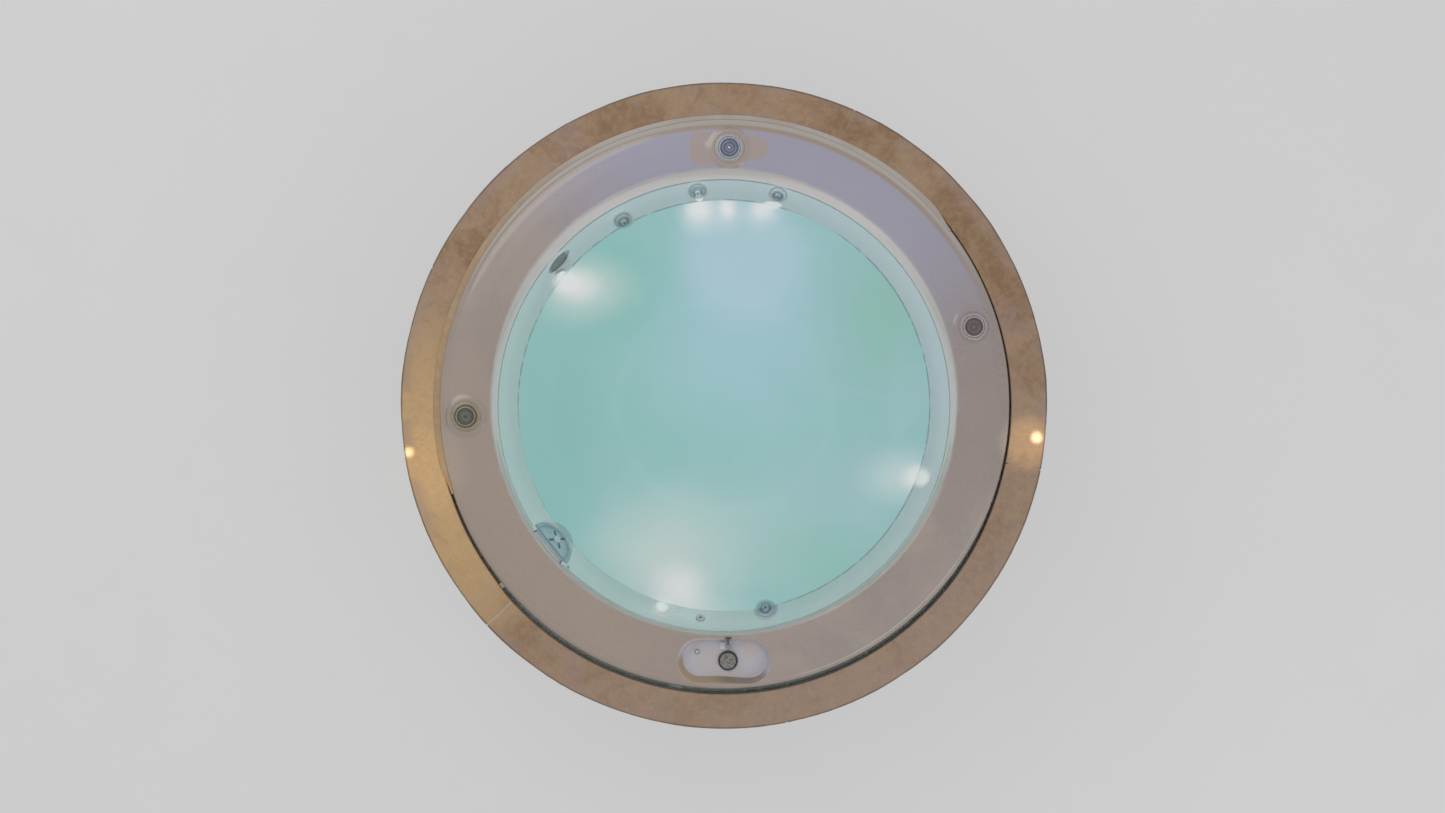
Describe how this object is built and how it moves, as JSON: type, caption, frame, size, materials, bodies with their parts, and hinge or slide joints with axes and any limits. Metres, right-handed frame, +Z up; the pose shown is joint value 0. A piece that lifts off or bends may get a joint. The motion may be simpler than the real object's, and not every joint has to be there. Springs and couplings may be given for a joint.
{
  "type": "round hot tub",
  "caption": "Round built-in hot tub: moulded tub with bench and footwell, tilting jets, lamps, turning air controls, control pocket, skimmer, stone coping and underside plant.",
  "frame": {"origin": "centre of the footprint on the floor under the base pan", "axes": "+Z up, -Y towards the control pocket, +X to its right as seen from above with the pocket at the foot of the view"},
  "size_m": [2.43, 2.43, 0.916],
  "materials": {
    "acrylic": "glossy moulded acrylic, taupe with a faint marbled speckle",
    "stone": "honed sandstone, tan and brown with soft mottling",
    "seal": "matt cream strip",
    "white_plastic": "satin off-white moulded plastic",
    "grey_plastic": "satin grey moulded plastic",
    "dark_plastic": "satin charcoal moulded plastic",
    "chrome": "bright turned stainless steel",
    "lamp": "frosted clear lens with a bright white lamp behind it",
    "steel": "galvanised and brushed steel",
    "board": "sealed exterior plywood",
    "pipe": "pale grey plastic pipe",
    "panel": "satin blue-grey moulded plastic",
    "motor": "satin dark enamel on cast aluminium"
  },
  "bodies": {
    "spa": {"air_control_collar_1": "white_plastic", "air_control_collar_2": "white_plastic", "air_control_collar_3": "white_plastic", "air_manifold": "pipe", "base_pan": "grey_plastic", "blower": "dark_plastic", "button_bezel": "dark_plastic", "coping_bearer": "board", "coping_stone_1": "stone", "coping_stone_2": "stone", "coping_stone_3": "stone", "coping_stone_4": "stone", "coping_stone_5": "stone", "discharge_pipe": "pipe", "drain_cover": "white_plastic", "edge_seal": "seal", "frame_hoop": "steel", "frame_leg_1": "steel", "frame_leg_2": "steel", "frame_leg_3": "steel", "frame_leg_4": "steel", "frame_leg_5": "steel", "frame_leg_6": "steel", "heater": "steel", "jet_body_1": "white_plastic", "jet_body_2": "white_plastic", "jet_body_3": "white_plastic", "jet_body_4": "white_plastic", "lamp_1": "lamp", "lamp_2": "lamp", "lamp_3": "lamp", "lamp_4": "lamp", "lamp_5": "lamp", "lamp_6": "lamp", "overflow_grille": "dark_plastic", "overflow_gutter": "grey_plastic", "ozone_inlet": "white_plastic", "pump_motor": "motor", "pump_wet_end": "dark_plastic", "skimmer_body": "white_plastic", "skimmer_panel": "panel", "suction_pipe": "pipe", "temperature_sensor": "panel", "tub_shell": "acrylic", "water_manifold": "pipe"},
    "jet_face_1": {"jet_face_1": "chrome"},
    "jet_nozzle_1": {"jet_nozzle_1": "dark_plastic"},
    "jet_face_2": {"jet_face_2": "chrome"},
    "jet_nozzle_2": {"jet_nozzle_2": "dark_plastic"},
    "jet_face_3": {"jet_face_3": "chrome"},
    "jet_nozzle_3": {"jet_nozzle_3": "dark_plastic"},
    "jet_face_4": {"jet_face_4": "chrome"},
    "jet_nozzle_4": {"jet_nozzle_4": "dark_plastic"},
    "air_control_knob_1": {"air_control_knob_1": "dark_plastic"},
    "air_control_knob_2": {"air_control_knob_2": "dark_plastic"},
    "air_control_knob_3": {"air_control_knob_3": "dark_plastic"},
    "button_cap": {"button_cap": "grey_plastic"},
    "diverter_lever": {"diverter_lever": "chrome"},
    "skimmer_flap": {"skimmer_flap": "white_plastic"}
  },
  "joints": [
    {"name": "jet_face_1_turn", "type": "hinge", "parent": "spa", "child": "jet_face_1", "pos_m": [-0.38439, 0.70502, 0.79257], "axis": [0.3603, -0.6607, 0.6585], "range_deg": [0, 90]},
    {"name": "jet_nozzle_1_tilt", "type": "hinge", "parent": "jet_face_1", "child": "jet_nozzle_1", "pos_m": [-0.38439, 0.70502, 0.79257], "axis": [0.878, 0.4787, 0], "range_deg": [-12, 12]},
    {"name": "jet_face_2_turn", "type": "hinge", "parent": "spa", "child": "jet_face_2", "pos_m": [-0.10006, 0.81488, 0.81314], "axis": [0.0917, -0.747, 0.6585], "range_deg": [0, 90]},
    {"name": "jet_nozzle_2_tilt", "type": "hinge", "parent": "jet_face_2", "child": "jet_nozzle_2", "pos_m": [-0.10006, 0.81488, 0.81314], "axis": [0.9925, 0.1219, 0], "range_deg": [-12, 12]},
    {"name": "jet_face_3_turn", "type": "hinge", "parent": "spa", "child": "jet_face_3", "pos_m": [0.20567, 0.80102, 0.82], "axis": [-0.1872, -0.7289, 0.6585], "range_deg": [0, 90]},
    {"name": "jet_nozzle_3_tilt", "type": "hinge", "parent": "jet_face_3", "child": "jet_nozzle_3", "pos_m": [0.20567, 0.80102, 0.82], "axis": [0.9686, -0.2487, 0], "range_deg": [-12, 12]},
    {"name": "jet_face_4_turn", "type": "hinge", "parent": "spa", "child": "jet_face_4", "pos_m": [0.15845, -0.7719, 0.79943], "axis": [-0.0913, 0.4447, 0.891], "range_deg": [0, 90]},
    {"name": "jet_nozzle_4_tilt", "type": "hinge", "parent": "jet_face_4", "child": "jet_nozzle_4", "pos_m": [0.15845, -0.7719, 0.79943], "axis": [-0.9796, -0.2011, 0], "range_deg": [-12, 12]},
    {"name": "air_control_1_turn", "type": "hinge", "parent": "spa", "child": "air_control_knob_1", "pos_m": [0.02025, 0.96679, 0.903], "axis": [0, 0, 1], "range_deg": [0, 180]},
    {"name": "air_control_2_turn", "type": "hinge", "parent": "spa", "child": "air_control_knob_2", "pos_m": [0.93655, 0.29529, 0.903], "axis": [0, 0, 1], "range_deg": [0, 180]},
    {"name": "air_control_3_turn", "type": "hinge", "parent": "spa", "child": "air_control_knob_3", "pos_m": [-0.96815, -0.04058, 0.903], "axis": [0, 0, 1], "range_deg": [0, 180]},
    {"name": "button_press", "type": "slide", "parent": "spa", "child": "button_cap", "axis": [0, 0, -1], "range_m": [0, 0.004], "stiffness_N_per_m": 2500, "springref_m": -0.001},
    {"name": "diverter_turn", "type": "hinge", "parent": "spa", "child": "diverter_lever", "pos_m": [0.016, -0.906, 0.8583], "axis": [0, 0, 1], "range_deg": [-45, 45]},
    {"name": "skimmer_flap_swing", "type": "hinge", "parent": "spa", "child": "skimmer_flap", "pos_m": [-0.66304, -0.5312, 0.84126], "axis": [-0.6252, 0.7804, 0], "range_deg": [-70, 0]}
  ]
}
